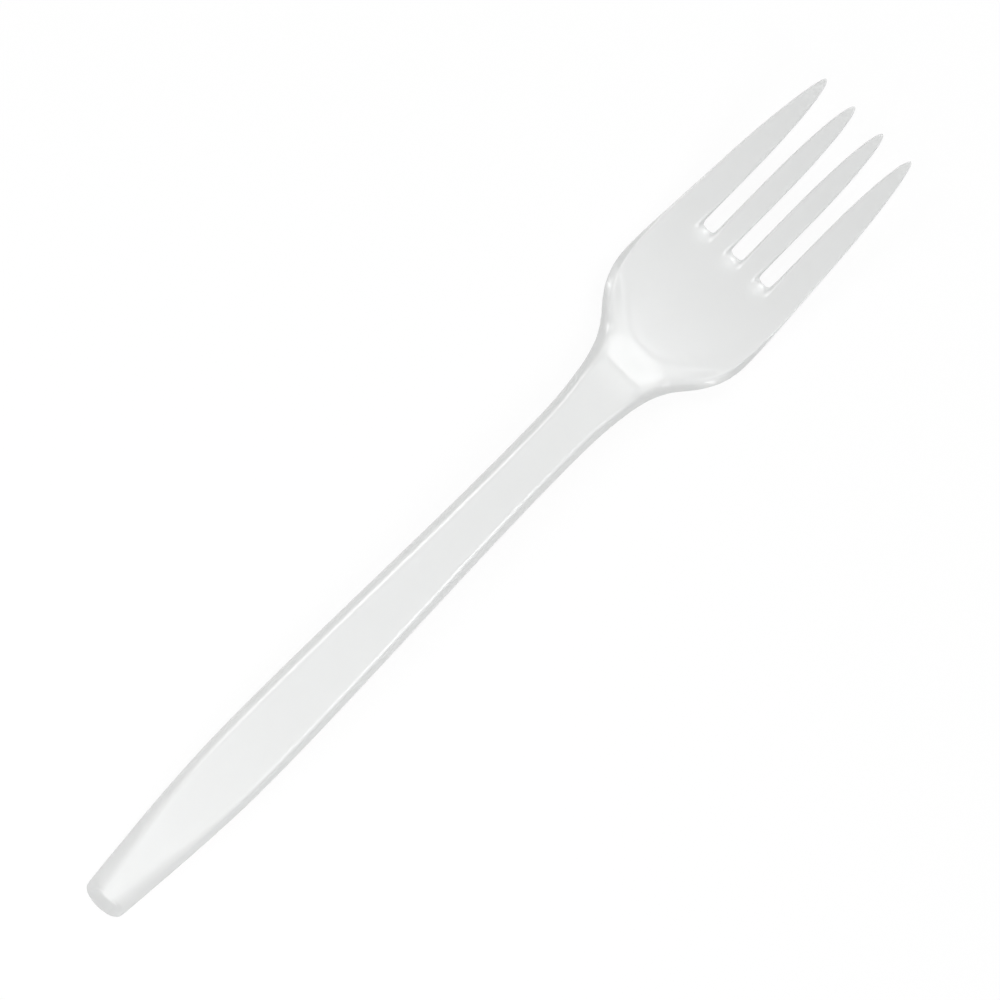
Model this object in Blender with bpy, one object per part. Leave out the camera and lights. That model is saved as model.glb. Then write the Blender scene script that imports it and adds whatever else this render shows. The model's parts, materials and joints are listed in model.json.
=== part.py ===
"""A disposable fork with four tines, moulded in one piece of white plastic.

It lies hollow side up, as it rests on a table, with its tail end towards -X and its tips towards +X.
Every size below is in millimetres. The mesh is made in metres, centred over the fork's own footprint.

In plan the fork is a sheet of quads shaped like a comb: one wide strip for the handle and head, which
splits into a narrow strip for each tine. That sheet is the upper face. Its border is extruded ring by ring
through the section of the edge: rounding, sloping wall, foot and inner wall. A copy of the sheet, turned
over, is the lower face and is bridged to the last ring.
"""

import math

import bmesh
import bpy
import numpy as np

MM = 0.001

# Lengths along the fork
LENGTH = 165.0
GRIP_FROM_TAIL = 32.6
WAIST_FROM_TIPS = 70.4
NECK_FROM_TIPS = 57.0
SHOULDER_FROM_TIPS = 48.4
HEAD_FROM_TIPS = 39.0
SLOT_LENGTH = 28.55
POINT_LENGTH = 16.4
TAIL_NOSE_LENGTH = 1.5

# Widths across the fork
TAIL_WIDTH = 6.9
GRIP_WIDTH = 11.1
WAIST_WIDTH = 8.6
NECK_WIDTH = 10.1
SHOULDER_WIDTH = 17.5
HEAD_WIDTH = 25.4
ROOT_WIDTH = 24.4
POINTS_WIDTH = 20.9

# Directions of the outline, as width gained to each side per length
TAIL_FLARE = 0.085
NECK_FLARE = 0.17
SHOULDER_FLARE = 0.92
ROOT_FLARE = -0.06

# Tines and the slots between them
TINES = 4
SLOT_WIDTH = 2.27
SLOT_PITCH = 5.86
SLOT_CORNER = 0.6
OUTER_POINT_HALF_WIDTH = 1.84

# Side profile of the upper face along the middle
WALL = 1.4
TIP_WALL = 1.0
ARCH_FROM_TAIL = 84.0
ARCH_HEIGHT = 6.7
TAIL_SLOPE = 0.06
NECK_HEIGHT = 5.65
NECK_SLOPE = -0.085
CREASE_FROM_TIPS = 53.4
CREASE_HEIGHT = 5.2
CREASE_SLOPE = -0.17
BACK_TOP_FROM_TIPS = 52.1
BACK_TOP_HEIGHT = 4.72
BACK_FOOT_FROM_TIPS = 49.1
BACK_FOOT_HEIGHT = 2.56
BACK_SLOPE = -0.72
FLOOR_EDGE_FROM_TIPS = 46.3
FLOOR_EDGE_HEIGHT = 1.78
FLOOR_EDGE_SLOPE = -0.08
FLOOR_FROM_TIPS = 38.0
TIP_HEIGHT = 9.6
TIP_SLOPE = 0.36

# Hollow of the bowl across the fork: how its back bows, and how far its rim stands over its floor
BACK_BOW = 0.06
FLOOR_WIDTH = 8.4
LEAST_SIDE_WIDTH = 0.5
HEAD_RIM = 0.8
ROOT_RIM = 0.6
TIP_RIM = 0.35

# Camber: how far the sides of the handle lie below its middle
TAIL_CAMBER = 1.9
HANDLE_CAMBER = 0.12

# Section of the edge: plan width of the sloping wall, then of the rounding above it and its fall
SKIRT_DEPTH = 2.9
SKIRT_WIDTH = 0.75
SKIRT_ROUNDING = 1.0
SKIRT_ROUNDING_FALL = 0.5
TAIL_SIDE_ROUNDING = 1.8
TAIL_SIDE_LENGTH = 25.0
TAIL_END_WIDTH = 1.9
TAIL_END_ROUNDING = 0.4
TAIL_END_ROUNDING_FALL = 0.12
RIM_WIDTH = 1.4
RIM_ROUNDING = 2.6
RIM_ROUNDING_FALL = 0.65
TINE_WALL_WIDTH = 0.08
TINE_ROUNDING = 0.3
TINE_ROUNDING_FALL = 0.15
SCOOP_WALL_WIDTH = 0.3
SCOOP_LENGTH = 2.6
SCOOP_FALL = 0.85
SCOOP_REACH = 6.0

# Underside: flat foot of the skirt, foot of a tine's side, fillet inside the channel
FOOT_WIDTH = 0.8
TINE_FOOT_WIDTH = 0.25
CHANNEL_FILLET = 0.3
EDGE_BREAK = 0.12

# How the border closes in from the outline
ROUNDING_STEPS = 3
TAIL_SQUARING = 0.3
SCOOP_TAPER = 0.35
SCOOP_POINTING = 0.05
SCOOP_SIDE_SHARE = 0.22

# How finely the surface is divided
HANDLE_ROWS = 36
NECK_ROWS = 7
BACK_ROWS = 10
FLOOR_ROWS = 6
SLOT_ROWS = 4
POINT_ROWS = 6
TINE_CELLS = 2
SLOT_CELLS = 4
TAIL_NOSE_ANGLES = (50.0, 70.0)
POINT_NOSE_ANGLE = 15.0

PLASTIC = (0.86, 0.87, 0.865, 1.0)
PLASTIC_ROUGHNESS = 0.3

NECK_X = LENGTH - NECK_FROM_TIPS
SHOULDER_X = LENGTH - SHOULDER_FROM_TIPS
HEAD_X = LENGTH - HEAD_FROM_TIPS
ROOT_X = LENGTH - SLOT_LENGTH
POINT_X = LENGTH - POINT_LENGTH
FLOOR_X = LENGTH - FLOOR_FROM_TIPS

OUTLINE = (
    (0.0, TAIL_WIDTH / 2, TAIL_FLARE),
    (GRIP_FROM_TAIL, GRIP_WIDTH / 2, 0.0),
    (LENGTH - WAIST_FROM_TIPS, WAIST_WIDTH / 2, 0.0),
    (NECK_X, NECK_WIDTH / 2, NECK_FLARE),
    (SHOULDER_X, SHOULDER_WIDTH / 2, SHOULDER_FLARE),
    (HEAD_X, HEAD_WIDTH / 2, 0.0),
    (ROOT_X, ROOT_WIDTH / 2, ROOT_FLARE),
    (LENGTH, POINTS_WIDTH / 2, ROOT_FLARE),
)

PROFILE = (
    (0.0, SKIRT_DEPTH, TAIL_SLOPE),
    (ARCH_FROM_TAIL, ARCH_HEIGHT, 0.0),
    (NECK_X, NECK_HEIGHT, NECK_SLOPE),
    (LENGTH - CREASE_FROM_TIPS, CREASE_HEIGHT, CREASE_SLOPE),
    (LENGTH - BACK_TOP_FROM_TIPS, BACK_TOP_HEIGHT, BACK_SLOPE),
    (LENGTH - BACK_FOOT_FROM_TIPS, BACK_FOOT_HEIGHT, BACK_SLOPE),
    (LENGTH - FLOOR_EDGE_FROM_TIPS, FLOOR_EDGE_HEIGHT, FLOOR_EDGE_SLOPE),
    (FLOOR_X, WALL, 0.0),
    (LENGTH, TIP_HEIGHT, TIP_SLOPE),
)


def curve(knots, x):
    """A smooth curve through knots of (position, value, slope)."""
    at, value, slope = np.array(knots).T
    x = np.clip(x, at[0], at[-1])
    i = np.clip(np.searchsorted(at, x, side="right") - 1, 0, len(at) - 2)
    span = at[i + 1] - at[i]
    t = (x - at[i]) / span
    start = value[i] * (1 + 2 * t) * (1 - t) ** 2 + slope[i] * span * t * (1 - t) ** 2
    end = value[i + 1] * t**2 * (3 - 2 * t) + slope[i + 1] * span * t**2 * (t - 1)
    return start + end


def eased(stops, x):
    """A value that eases, level at each stop, through stops of (position, value)."""
    return curve([(at, value, 0.0) for at, value in stops], x)


def half_width(x):
    return curve(OUTLINE, x)


def across(width, x):
    """The sideways measure of a band that is this wide square to the outline."""
    slope = (half_width(x + 0.1) - half_width(x - 0.1)) / 0.2
    return width * np.sqrt(1 + slope**2)


def wall(x):
    return eased(((POINT_X, WALL), (LENGTH, TIP_WALL)), x)


def camber(x, y):
    """How far the upper face of the handle lies below its middle."""
    at_side = eased(((0.0, TAIL_CAMBER), (TAIL_SIDE_LENGTH, HANDLE_CAMBER), (NECK_X, 0.0)), x)
    return at_side * (y / half_width(x)) ** 2


def surface(x, y):
    """Height of the upper face, before the camber of the handle and the rounding of the edges.

    The foot of the bowl's back bows: off the middle it lies further forward, so the wall wraps the floor.
    """
    crease_x = LENGTH - CREASE_FROM_TIPS
    bow = eased(((crease_x, 0.0), (LENGTH - FLOOR_EDGE_FROM_TIPS, BACK_BOW), (ROOT_X, 0.0)), x)
    rim = eased(((NECK_X, 0.0), (FLOOR_X, HEAD_RIM), (ROOT_X, ROOT_RIM), (LENGTH, TIP_RIM)), x)
    floor = FLOOR_WIDTH / 2
    side = np.clip((np.abs(y) - floor) / np.maximum(half_width(x) - floor, LEAST_SIDE_WIDTH), 0, 1)
    return curve(PROFILE, x - bow * y**2) + rim * side**2


def side_section(x):
    """Section of the outer edge at x: wall width, rounding, its fall, depth, foot and thickness."""

    def run(*stops):
        return eased(stops, x)

    return np.array(
        [
            run((NECK_X, SKIRT_WIDTH), (SHOULDER_X, RIM_WIDTH), (ROOT_X, TINE_WALL_WIDTH)),
            run(
                (0.0, TAIL_SIDE_ROUNDING),
                (TAIL_SIDE_LENGTH, SKIRT_ROUNDING),
                (NECK_X, SKIRT_ROUNDING),
                (SHOULDER_X, RIM_ROUNDING),
                (HEAD_X, TINE_ROUNDING),
            ),
            run((NECK_X, SKIRT_ROUNDING_FALL), (SHOULDER_X, RIM_ROUNDING_FALL), (HEAD_X, TINE_ROUNDING_FALL)),
            run((SHOULDER_X, SKIRT_DEPTH), (ROOT_X, WALL), (POINT_X, WALL), (LENGTH, TIP_WALL)),
            run((NECK_X, FOOT_WIDTH), (ROOT_X, TINE_FOOT_WIDTH)),
            wall(x),
        ]
    )


def tail_section(x):
    """Section of the edge across the end of the tail, where the wall leans most."""
    return np.array(
        [
            np.full_like(x, TAIL_END_WIDTH),
            np.full_like(x, TAIL_END_ROUNDING),
            np.full_like(x, TAIL_END_ROUNDING_FALL),
            np.full_like(x, SKIRT_DEPTH),
            np.full_like(x, FOOT_WIDTH),
            wall(x),
        ]
    )


def root_section(x):
    """Section of the edge across the root of a slot, where the upper face is scooped."""
    return np.array(
        [
            np.full_like(x, SCOOP_WALL_WIDTH),
            np.full_like(x, SCOOP_LENGTH),
            np.full_like(x, SCOOP_FALL),
            wall(x),
            np.full_like(x, TINE_FOOT_WIDTH),
            wall(x),
        ]
    )


def slot_section(x):
    """Section of the edge along a slot: rounder near the root than further out."""
    tine = np.array(
        [
            np.full_like(x, TINE_WALL_WIDTH),
            np.full_like(x, TINE_ROUNDING),
            np.full_like(x, TINE_ROUNDING_FALL),
            wall(x),
            np.full_like(x, TINE_FOOT_WIDTH),
            wall(x),
        ]
    )
    share = SCOOP_SIDE_SHARE * eased(((ROOT_X, 1.0), (ROOT_X + SCOOP_REACH, 0.0)), x)
    return tine * (1 - share) + root_section(x) * share


def insets(section):
    """How far each ring lies inside the outline, from the border of the upper face to the lower face."""
    width, rounding, fall, depth, foot, thickness = section
    steps = [width + rounding * (1 - t) for t in np.linspace(0, 1, ROUNDING_STEPS + 1)]
    inner_wall = width * (depth - thickness) / (depth - fall) + CHANNEL_FILLET
    return [*steps, 0 * width, 0 * width + EDGE_BREAK, foot, foot + inner_wall]


def falls(section):
    """How far each ring lies below the upper face."""
    width, rounding, fall, depth, foot, thickness = section
    steps = [fall * t**2 for t in np.linspace(0, 1, ROUNDING_STEPS + 1)]
    return [*steps, depth - EDGE_BREAK, depth, depth, thickness]


OUTLINE_RING = ROUNDING_STEPS + 1
FOOT_RING = OUTLINE_RING + 2
LAST_RING = FOOT_RING + 1
COLUMNS = TINES * TINE_CELLS + (TINES - 1) * SLOT_CELLS
SLOT_CENTRES = [(k - (TINES - 2) / 2) * SLOT_PITCH for k in range(TINES - 1)]


def tine_columns(tine):
    """The run of body columns that goes on as this tine."""
    first = tine * (TINE_CELLS + SLOT_CELLS)
    return slice(first, first + TINE_CELLS + 1)


def tine_centre(tine):
    if tine == 0:
        return SLOT_CENTRES[0] - SLOT_WIDTH / 2 - OUTER_POINT_HALF_WIDTH
    if tine == TINES - 1:
        return -tine_centre(0)
    return (SLOT_CENTRES[tine - 1] + SLOT_CENTRES[tine]) / 2


def root_row(ring, side):
    """Plan points of the row where the body splits into tines, with the round corners of the slots."""
    start = np.array([ROOT_X])
    beside = insets(slot_section(start))[ring][0]
    root = ROOT_X - insets(root_section(start))[ring][0]
    gap = SLOT_WIDTH / 2 + beside
    corner_length = SLOT_CORNER + SCOOP_TAPER * (ROOT_X - root)
    corner_width = SLOT_CORNER + beside + SCOOP_POINTING * (ROOT_X - root)
    part = 1 - math.sqrt(0.5)
    x = np.full(COLUMNS + 1, root + part * corner_length)
    y = np.zeros(COLUMNS + 1)
    corners = [-side(x)[0]]
    for k, centre in enumerate(SLOT_CENTRES):
        first = tine_columns(k).stop - 1
        inner = slice(first + 1, first + SLOT_CELLS)
        x[inner] = root
        y[inner] = centre + np.linspace(corner_width - gap, gap - corner_width, SLOT_CELLS - 1)
        corners += [centre - gap + part * corner_width, centre + gap - part * corner_width]
    corners.append(-corners[0])
    for tine in range(TINES):
        y[tine_columns(tine)] = np.linspace(corners[2 * tine], corners[2 * tine + 1], TINE_CELLS + 1)
    return x, y, root + corner_length


def body_points(ring, side):
    """Plan points of the wide strip, row by row from the round tail end to the roots of the slots."""
    root_x, root_y, tines_start = root_row(ring, side)
    share = root_y / root_y[-1]
    tail = insets(tail_section(np.array([0.0])))[ring][0]
    nose = TAIL_NOSE_LENGTH - TAIL_SQUARING * tail
    turn = np.radians(TAIL_NOSE_ANGLES[0]) * share
    x = tail + nose * (1 - np.cos(turn))
    rows = [(x, side(x) * np.sin(turn))]
    for angle in np.radians((*TAIL_NOSE_ANGLES[1:], 90.0)):
        x = np.full(COLUMNS + 1, tail + nose * (1 - math.cos(angle)))
        rows.append((x, side(x) * math.sin(angle) * share))
    bounds = (tail + nose, NECK_X, LENGTH - BACK_FOOT_FROM_TIPS, FLOOR_X, root_x[0])
    spans = zip(bounds, bounds[1:], (HANDLE_ROWS, NECK_ROWS, BACK_ROWS, FLOOR_ROWS))
    along = np.concatenate([np.linspace(start, end, count + 1)[1:] for start, end, count in spans])
    for at in along[:-1]:
        x = np.full(COLUMNS + 1, at)
        rows.append((x, side(x) * share))
    rows.append((root_x, root_y))
    return np.array(rows).transpose(0, 2, 1), tines_start


def tine_points(tine, ring, side, start):
    """Plan points of one tine beyond its first row, ending in a half ellipse."""
    tip = LENGTH - insets(slot_section(np.array([LENGTH])))[ring][0]
    centre = tine_centre(tine)

    def edges(x):
        gap = SLOT_WIDTH / 2 + insets(slot_section(x))[ring]
        low = SLOT_CENTRES[tine - 1] + gap if tine > 0 else -side(x)
        high = SLOT_CENTRES[tine] - gap if tine < TINES - 1 else side(x)
        return low, high

    share = np.linspace(-1, 1, TINE_CELLS + 1)
    angles = [math.pi / 2] * SLOT_ROWS
    along = list(np.linspace(start, tip - POINT_LENGTH, SLOT_ROWS + 1)[:-1])
    for angle in np.radians(np.linspace(90, POINT_NOSE_ANGLE, POINT_ROWS + 1))[:-1]:
        along.append(tip - POINT_LENGTH * (1 - math.cos(angle)))
        angles.append(angle)
    rows = []
    for at, angle in zip(along, angles):
        x = np.full(TINE_CELLS + 1, at)
        low, high = edges(x)
        spread = (low * (1 - share) + high * (1 + share)) / 2
        rows.append((x, centre + (spread - centre) * math.sin(angle)))
    turn = np.radians(POINT_NOSE_ANGLE) * share
    x = tip - POINT_LENGTH * (1 - np.cos(turn))
    low, high = edges(x)
    reach = np.where(share < 0, centre - low, high - centre)
    rows.append((x, centre + reach * np.sin(turn)))
    return np.array(rows).transpose(0, 2, 1)


def sheet_points(ring):
    """All plan points of the comb-shaped sheet whose border is the given ring."""

    def side(x):
        return half_width(x) - across(insets(side_section(x))[ring], x)

    body, start = body_points(ring, side)
    parts = [body.reshape(-1, 2)]
    parts += [tine_points(tine, ring, side, start).reshape(-1, 2) for tine in range(TINES)]
    return np.vstack(parts)


def sheet_grids():
    """Numbers of the sheet's points as grids: the body, then each tine with the body row it grows from."""
    body_rows = len(TAIL_NOSE_ANGLES) + HANDLE_ROWS + NECK_ROWS + BACK_ROWS + FLOOR_ROWS + 1
    tine_rows = SLOT_ROWS + POINT_ROWS + 1
    body = np.arange(body_rows * (COLUMNS + 1)).reshape(body_rows, COLUMNS + 1)
    grids = [body]
    used = body.size
    for tine in range(TINES):
        rest = used + np.arange(tine_rows * (TINE_CELLS + 1)).reshape(tine_rows, TINE_CELLS + 1)
        used += rest.size
        grids.append(np.vstack([body[-1, tine_columns(tine)], rest]))
    return grids


def border(grids):
    """The sheet's border, anticlockwise from above, as (point number, kind of edge there)."""
    body, tines = grids[0], grids[1:]
    loop = [(v, "side") for v in body[:-1, 0]]
    for k, grid in enumerate(tines):
        outward = "side" if k == 0 else "slot"
        inward = "side" if k == TINES - 1 else "slot"
        loop.append((grid[0, 0], "side" if k == 0 else "corner"))
        loop += [(v, outward) for v in grid[1:, 0]]
        loop += [(v, "slot") for v in grid[-1, 1:-1]]
        loop += [(v, inward) for v in grid[:0:-1, -1]]
        loop.append((grid[0, -1], "side" if k == TINES - 1 else "corner"))
        if k < TINES - 1:
            first = tine_columns(k).stop
            loop += [(v, "root") for v in body[-1, first : first + SLOT_CELLS - 1]]
    loop += [(v, "side") for v in body[-2::-1, -1]]
    loop += [(v, "tail") for v in body[0, -2:0:-1]]
    return loop


def border_sections(loop, outline):
    """The section of the edge at every point of the border."""
    x = outline[[v for v, kind in loop], 0]
    slot, root = slot_section(x), root_section(x)
    by_kind = {
        "side": side_section(x),
        "tail": tail_section(x),
        "slot": slot,
        "root": root,
        "corner": (slot + root) / 2,
    }
    return np.array([by_kind[kind][:, i] for i, (v, kind) in enumerate(loop)]).T


def placed(plan, height):
    """Points in metres, centred along the fork."""
    x, y = plan.T
    return np.column_stack([x - LENGTH / 2, y, height]) * MM


def add_upper_face(bm, grids):
    plan = sheet_points(0)
    points = placed(plan, surface(*plan.T) - camber(*plan.T))
    verts = [bm.verts.new(point) for point in points]
    for grid in grids:
        for near, far in zip(grid[:-1], grid[1:]):
            for corners in zip(near[:-1], far[:-1], far[1:], near[1:]):
                bm.faces.new([verts[v] for v in corners])
    return verts


def extrude_ring(bm, ring, points):
    """Extrude a closed ring of vertices and put the new ones at these points."""
    inner = set(zip(ring, ring[1:] + ring[:1]))
    edges = [bm.edges.get(pair) for pair in inner]
    made = bmesh.ops.extrude_edge_only(bm, edges=edges)["geom"]
    new = {v for v in made if isinstance(v, bmesh.types.BMVert)}
    outer = []
    for vert, point in zip(ring, points):
        follower = next(e.other_vert(vert) for e in vert.link_edges if e.other_vert(vert) in new)
        follower.co = point
        outer.append(follower)
    return outer


def add_lower_face(bm, upper, last_ring, around):
    """Turn a copy of the upper face over, drop it by the wall and bridge it to the last ring."""
    own = set(upper)
    faces = [face for face in bm.faces if all(v in own for v in face.verts)]
    made = bmesh.ops.duplicate(bm, geom=faces)
    bmesh.ops.reverse_faces(bm, faces=[g for g in made["geom"] if isinstance(g, bmesh.types.BMFace)])
    plan = sheet_points(LAST_RING)
    points = placed(plan, surface(*plan.T) - camber(*plan.T) - wall(plan[:, 0]))
    for vert, point in zip(upper, points):
        made["vert_map"][vert].co = point
    lower_ring = [made["vert_map"][upper[v]] for v in around]
    for ring in (last_ring, lower_ring):
        ring.append(ring[0])
    edges = [bm.edges.get(pair) for ring in (last_ring, lower_ring) for pair in zip(ring[:-1], ring[1:])]
    bmesh.ops.bridge_loops(bm, edges=edges)


def make_mesh():
    grids = sheet_grids()
    loop = border(grids)
    around = [v for v, kind in loop]
    drops = falls(border_sections(loop, sheet_points(OUTLINE_RING)))
    bm = bmesh.new()
    upper = add_upper_face(bm, grids)
    ring = [upper[v] for v in around]
    for step in range(1, LAST_RING):
        plan = sheet_points(step)[around]
        height = surface(*plan.T) - drops[step]
        if step < OUTLINE_RING:
            height = height - camber(*plan.T)
        ring = extrude_ring(bm, ring, placed(plan, height))
    add_lower_face(bm, upper, ring, around)

    lowest = min(v.co.z for v in bm.verts)
    bmesh.ops.translate(bm, verts=bm.verts, vec=(0, 0, -lowest))
    bmesh.ops.recalc_face_normals(bm, faces=bm.faces)
    mesh = bpy.data.meshes.new("fork")
    bm.to_mesh(mesh)
    bm.free()
    mesh.shade_smooth()
    return mesh


def plastic():
    material = bpy.data.materials.new("white_plastic")
    material.use_nodes = True
    shader = material.node_tree.nodes["Principled BSDF"]
    shader.inputs["Base Color"].default_value = PLASTIC
    shader.inputs["Roughness"].default_value = PLASTIC_ROUGHNESS
    shader.inputs["Metallic"].default_value = 0.0
    material.diffuse_color = PLASTIC
    return material


def main():
    for old in list(bpy.data.objects):
        bpy.data.objects.remove(old, do_unlink=True)
    mesh = make_mesh()
    mesh.materials.append(plastic())
    bpy.context.scene.collection.objects.link(bpy.data.objects.new("fork", mesh))


main()
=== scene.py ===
# %% [markdown]
# # A plastic fork on a white table
#
# The object is one light fork, moulded in one shot of white polystyrene. Its solid comes from the CAD model
# as the fixed frame. This script gives that solid a smooth surface, a plastic finish, a table, soft light
# and a camera that looks straight down.

# %% Load the frame and remember its box
import json
import math

import bmesh
import bpy
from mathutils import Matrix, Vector

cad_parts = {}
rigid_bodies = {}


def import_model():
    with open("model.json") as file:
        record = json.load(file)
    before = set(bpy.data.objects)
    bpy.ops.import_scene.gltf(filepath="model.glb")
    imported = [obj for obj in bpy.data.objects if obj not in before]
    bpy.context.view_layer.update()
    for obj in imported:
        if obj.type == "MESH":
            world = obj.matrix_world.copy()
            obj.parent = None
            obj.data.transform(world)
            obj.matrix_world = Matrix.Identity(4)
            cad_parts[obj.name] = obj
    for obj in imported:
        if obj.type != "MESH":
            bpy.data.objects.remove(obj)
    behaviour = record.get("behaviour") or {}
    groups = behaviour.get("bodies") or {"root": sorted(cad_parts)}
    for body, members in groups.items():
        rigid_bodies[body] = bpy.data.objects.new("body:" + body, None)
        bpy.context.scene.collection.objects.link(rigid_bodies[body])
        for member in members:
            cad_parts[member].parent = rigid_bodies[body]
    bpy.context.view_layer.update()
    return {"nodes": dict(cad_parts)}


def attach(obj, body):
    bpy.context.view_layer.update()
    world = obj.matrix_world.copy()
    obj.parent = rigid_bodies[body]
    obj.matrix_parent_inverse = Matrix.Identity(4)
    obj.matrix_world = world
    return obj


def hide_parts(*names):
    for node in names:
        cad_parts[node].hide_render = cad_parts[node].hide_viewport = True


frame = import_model()
MM = 0.001

# %% [markdown]
# ## The surface of the fork
#
# The solid is made of flat triangles, which is right for weighing and collision but shows as facets on a
# glossy surface. A mould for such a fork is polished, so every face flows into the next. We could remodel the
# fork from a primitive, but then picture and solid might drift apart. Instead we copy the solid, weld its
# loose triangles, join them back into quads and let a Subdivision Surface round them. The quads matter: the
# smoothing follows the edges, so a stray diagonal would leave a ripple in the shine. In a long thin quad the
# diagonal is the longest edge of both its triangles, and that is how we find it.

# %% Copy the solid and weld it
WELD_DISTANCE = 0.001 * MM

bpy.ops.object.select_all(action="DESELECT")
solid = frame["nodes"]["fork"]
solid.select_set(True)
bpy.context.view_layer.objects.active = solid
bpy.ops.object.duplicate()
fork = bpy.context.active_object
fork.name = fork.data.name = "fork_surface"
bpy.ops.object.parent_clear(type="CLEAR_KEEP_TRANSFORM")
bpy.ops.object.transform_apply(location=True, rotation=True, scale=True)

bpy.ops.object.mode_set(mode="EDIT")
bpy.ops.mesh.select_all(action="SELECT")
bpy.ops.mesh.remove_doubles(threshold=WELD_DISTANCE)
bpy.ops.mesh.select_all(action="DESELECT")
bpy.ops.object.mode_set(mode="OBJECT")
print("welded:", len(fork.data.vertices), "points,", len(fork.data.polygons), "triangles")

# %% Take the diagonals out
MOST_FOLDED_QUAD = math.radians(25)


def is_diagonal(edge):
    """Whether an edge is the longest one of both its triangles, and they lie nearly flat to each other."""
    if len(edge.link_faces) != 2 or edge.calc_face_angle() > MOST_FOLDED_QUAD:
        return False
    return all(edge == max(face.edges, key=lambda side: side.calc_length()) for face in edge.link_faces)


bpy.ops.object.mode_set(mode="EDIT")
bpy.ops.mesh.select_mode(type="EDGE")
mesh = bmesh.from_edit_mesh(fork.data)
for edge in mesh.edges:
    edge.select = is_diagonal(edge)
bmesh.update_edit_mesh(fork.data)
bpy.ops.mesh.dissolve_edges(use_verts=False, use_face_split=False)
bpy.ops.object.mode_set(mode="OBJECT")
corners = [len(face.vertices) for face in fork.data.polygons]
print("joined:", corners.count(4), "quads,", corners.count(3), "triangles,", len(corners), "faces in all")

# %% Round it with a Subdivision Surface
SMOOTHING_LEVELS = 2
bpy.ops.object.modifier_add(type="SUBSURF")
smoothing = fork.modifiers[-1]
smoothing.levels = smoothing.render_levels = SMOOTHING_LEVELS
bpy.ops.object.modifier_apply(modifier=smoothing.name)
bpy.ops.object.shade_smooth()
print("smoothed:", len(fork.data.polygons), "faces")

# %% [markdown]
# ## The plastic
#
# Plain white polystyrene is a touch cooler than paper. It is glossy, yet never a mirror: the polish of the
# mould leaves a soft sheen. A single flat colour would look like paint, so noise varies the tone and the
# roughness slightly, and a very fine bump breaks the reflections. A little light also sinks in and spreads
# under the surface, which softens the shading of the thin walls.

# %% Helpers that add and join nodes
def add_node(tree, kind, **settings):
    """Add a node of this kind and give it these settings."""
    node = tree.nodes.new("ShaderNode" + kind)
    for name, value in settings.items():
        setattr(node, name, value)
    return node


def feed(tree, source, target):
    """Join an output to an input, or write a plain value into it."""
    if isinstance(source, bpy.types.NodeSocket):
        tree.links.new(source, target)
    else:
        target.default_value = source


def noise(tree, place, scale, detail):
    """A soft random pattern of this many blotches per metre."""
    node = add_node(tree, "TexNoise")
    feed(tree, place, node.inputs["Vector"])
    feed(tree, scale, node.inputs["Scale"])
    feed(tree, detail, node.inputs["Detail"])
    return node.outputs["Fac"]


NOISE_LOW, NOISE_HIGH = 0.3, 0.7


def between(tree, pattern, low, high):
    """A number that runs from low to high over the range in which a noise pattern has its values."""
    node = add_node(tree, "MapRange")
    feed(tree, pattern, node.inputs["Value"])
    feed(tree, NOISE_LOW, node.inputs["From Min"])
    feed(tree, NOISE_HIGH, node.inputs["From Max"])
    feed(tree, low, node.inputs["To Min"])
    feed(tree, high, node.inputs["To Max"])
    return node.outputs["Result"]


# %% Make the plastic
PLASTIC_WHITE = (0.86, 0.868, 0.864, 1.0)
PLASTIC_CLOUD = (0.845, 0.853, 0.848, 1.0)
CLOUD_SCALE, CLOUD_DETAIL = 60.0, 3.0
GRAIN_SCALE, GRAIN_DETAIL = 2600.0, 2.0
GRAIN_HEIGHT = 0.004 * MM
SMOOTHEST, ROUGHEST = 0.22, 0.26
REFRACTION = 1.59
SUNK_SHARE = 0.25
SUNK_DEPTH = 0.8 * MM

plastic = bpy.data.materials.new("white_polystyrene")
plastic.use_nodes = True
tree = plastic.node_tree
shader = tree.nodes["Principled BSDF"]
place = add_node(tree, "TexCoord").outputs["Object"]
clouds = noise(tree, place, CLOUD_SCALE, CLOUD_DETAIL)
grain = noise(tree, place, GRAIN_SCALE, GRAIN_DETAIL)

tint = add_node(tree, "Mix", data_type="RGBA")
feed(tree, between(tree, clouds, 0.0, 1.0), tint.inputs["Factor"])
feed(tree, PLASTIC_WHITE, tint.inputs["A"])
feed(tree, PLASTIC_CLOUD, tint.inputs["B"])
feed(tree, tint.outputs["Result"], shader.inputs["Base Color"])
feed(tree, between(tree, clouds, SMOOTHEST, ROUGHEST), shader.inputs["Roughness"])

bump = add_node(tree, "Bump")
feed(tree, GRAIN_HEIGHT, bump.inputs["Distance"])
feed(tree, grain, bump.inputs["Height"])
feed(tree, bump.outputs["Normal"], shader.inputs["Normal"])

shader.inputs["IOR"].default_value = REFRACTION
shader.inputs["Subsurface Weight"].default_value = SUNK_SHARE
shader.inputs["Subsurface Radius"].default_value = (1.0, 1.0, 1.0)
shader.inputs["Subsurface Scale"].default_value = SUNK_DEPTH
fork.data.materials.clear()
fork.data.materials.append(plastic)
print("materials on the fork:", [material.name for material in fork.data.materials])

# %% Fix the piece to the frame
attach(fork, "root")
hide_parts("fork")

# %% [markdown]
# ## Table and light
#
# A white table, lit softly from both long sides and from beyond the tips, shows a white object by its
# reflections: faces that tilt towards a lamp turn brighter than those that look straight up. Near light
# fades with distance, so a small lamp close to the tail makes the handle brighten towards its end.

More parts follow.
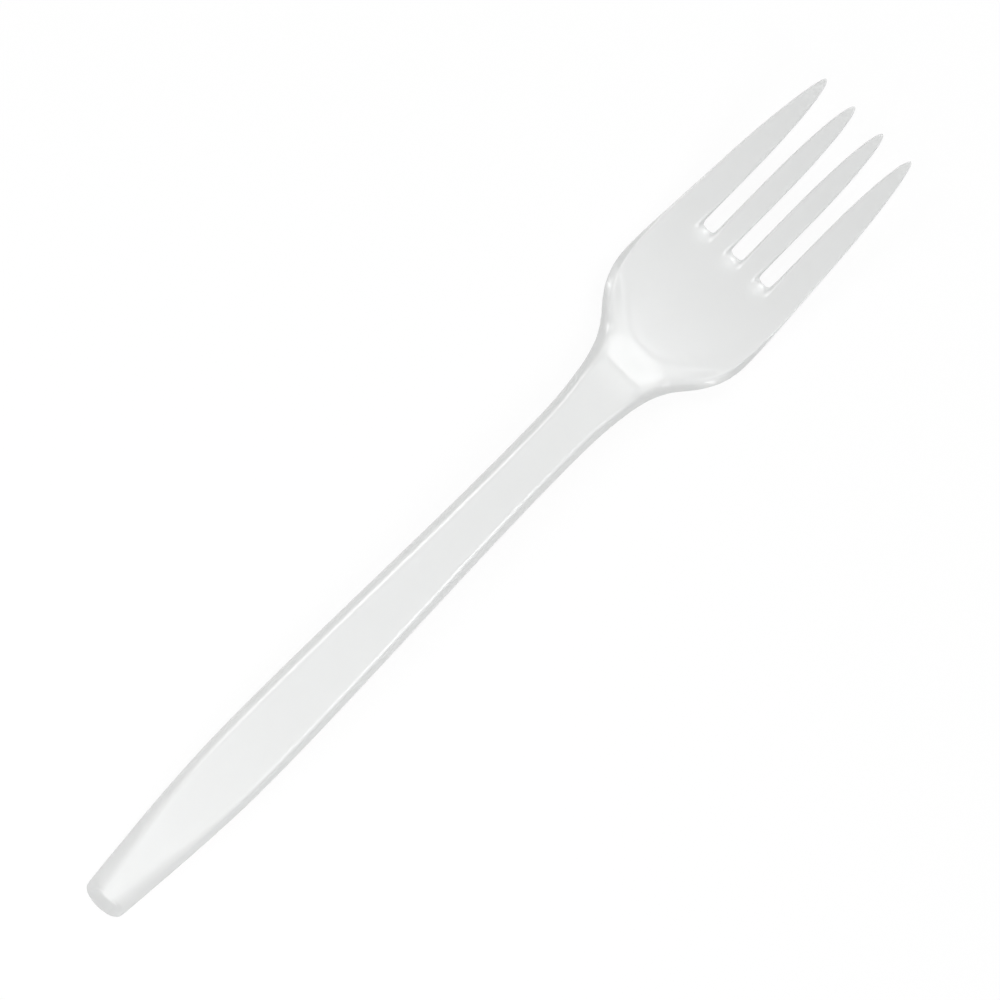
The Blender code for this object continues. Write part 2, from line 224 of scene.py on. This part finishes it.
# %% A helper that picks what each ray meets
def seen_white(tree, lit, brightness, share):
    """Show plain white to the camera, mirrors and glass, by this share, and the lit shader otherwise."""
    path = add_node(tree, "LightPath")
    seen = path.outputs["Is Camera Ray"]
    for name in ("Is Glossy Ray", "Is Transmission Ray"):
        either = add_node(tree, "Math", operation="MAXIMUM")
        feed(tree, seen, either.inputs[0])
        feed(tree, path.outputs[name], either.inputs[1])
        seen = either.outputs[0]
    part = add_node(tree, "Math", operation="MULTIPLY")
    feed(tree, seen, part.inputs[0])
    feed(tree, share, part.inputs[1])
    white = add_node(tree, "Emission")
    feed(tree, brightness, white.inputs["Strength"])
    mix = add_node(tree, "MixShader")
    feed(tree, part.outputs[0], mix.inputs[0])
    feed(tree, lit, mix.inputs[1])
    feed(tree, white.outputs[0], mix.inputs[2])
    return mix.outputs[0]


# %% Lay the table
TABLE_SIZE = 3.0
TABLE_COLOUR = (0.9, 0.9, 0.9, 1.0)
TABLE_ROUGHNESS = 0.9
TABLE_BRIGHTNESS = 1.02
TABLE_SEEN_SHARE = 0.9

bpy.ops.mesh.primitive_plane_add(size=TABLE_SIZE, location=(0, 0, 0))
table = bpy.context.active_object
table.name = "table_top"
table_white = bpy.data.materials.new("white_table")
table_white.use_nodes = True
tree = table_white.node_tree
surface = tree.nodes["Principled BSDF"]
surface.inputs["Base Color"].default_value = TABLE_COLOUR
surface.inputs["Roughness"].default_value = TABLE_ROUGHNESS
surface.inputs["Specular IOR Level"].default_value = 0.0
seen_table = seen_white(tree, surface.outputs[0], TABLE_BRIGHTNESS, TABLE_SEEN_SHARE)
feed(tree, seen_table, tree.nodes["Material Output"].inputs["Surface"])
table.data.materials.append(table_white)
print("table:", TABLE_SIZE, "m wide")

# %% Hang the lamps
FAR = 0.75
NEAR = 0.23


def add_lamp(name, lean, towards, distance, size, radiance):
    """An area lamp that faces the fork from an angle off the vertical, in a compass direction, in degrees."""
    light = bpy.data.lights.new(name, "AREA")
    light.shape = "RECTANGLE"
    light.size, light.size_y = size
    light.energy = radiance * math.pi * size[0] * size[1]
    lamp = bpy.data.objects.new(name, light)
    bpy.context.scene.collection.objects.link(lamp)
    lean, towards = math.radians(lean), math.radians(towards)
    flat = math.sin(lean)
    lamp.location = distance * Vector((flat * math.cos(towards), flat * math.sin(towards), math.cos(lean)))
    lamp.rotation_euler = (0.0, lean, towards)
    print(name, "at", tuple(round(value, 2) for value in lamp.location), "with", round(light.energy, 2), "W")


add_lamp("left_box", 45, 93, FAR, (0.36, 0.23), 5.4)
add_lamp("right_box", 45, -93, FAR, (0.36, 0.23), 5.4)
add_lamp("left_tips_box", 56, 32, FAR, (0.34, 0.34), 1.5)
add_lamp("right_tips_box", 56, -32, FAR, (0.34, 0.34), 1.5)
add_lamp("high_tips_box", 22, 0, FAR, (0.22, 0.24), 2.0)
add_lamp("low_tips_box", 62, 0, FAR, (0.36, 0.34), 4.0)
add_lamp("tail_box", 42, 180, NEAR, (0.10, 0.20), 2.95)

# %% Light the room
ROOM_LIGHT = 0.08

world = bpy.data.worlds.new("room")
world.use_nodes = True
tree = world.node_tree
room = tree.nodes["Background"]
room.inputs["Color"].default_value = (1.0, 1.0, 1.0, 1.0)
room.inputs["Strength"].default_value = ROOM_LIGHT
feed(tree, seen_white(tree, room.outputs[0], 1.0, 1.0), tree.nodes["World Output"].inputs["Surface"])
bpy.context.scene.world = world
print("room light:", ROOM_LIGHT)

# %% [markdown]
# ## Camera
#
# The photograph is taken from straight above through a long lens, with the fork lying corner to corner. A
# lens far away keeps the lines parallel, so the camera stands four metres up. It is turned about the
# vertical.

# %% Set the camera
PICTURE_WIDTH = 149.5 * MM
PICTURE_CENTRE = (3.24 * MM, -0.38 * MM)
FORK_LEVEL = 5 * MM
TURN = math.radians(45.54)
DISTANCE = 4.0
FARTHEST_SEEN = 20.0

camera_data = bpy.data.cameras.new("overhead")
camera_data.lens = camera_data.sensor_width * DISTANCE / PICTURE_WIDTH
camera_data.clip_end = FARTHEST_SEEN
camera = bpy.data.objects.new("overhead", camera_data)
bpy.context.scene.collection.objects.link(camera)
camera.location = (*PICTURE_CENTRE, DISTANCE + FORK_LEVEL)
camera.rotation_euler = (0.0, 0.0, -TURN)
bpy.context.scene.camera = camera
bpy.context.scene.view_settings.view_transform = "Standard"
print("lens", round(camera_data.lens), "mm")
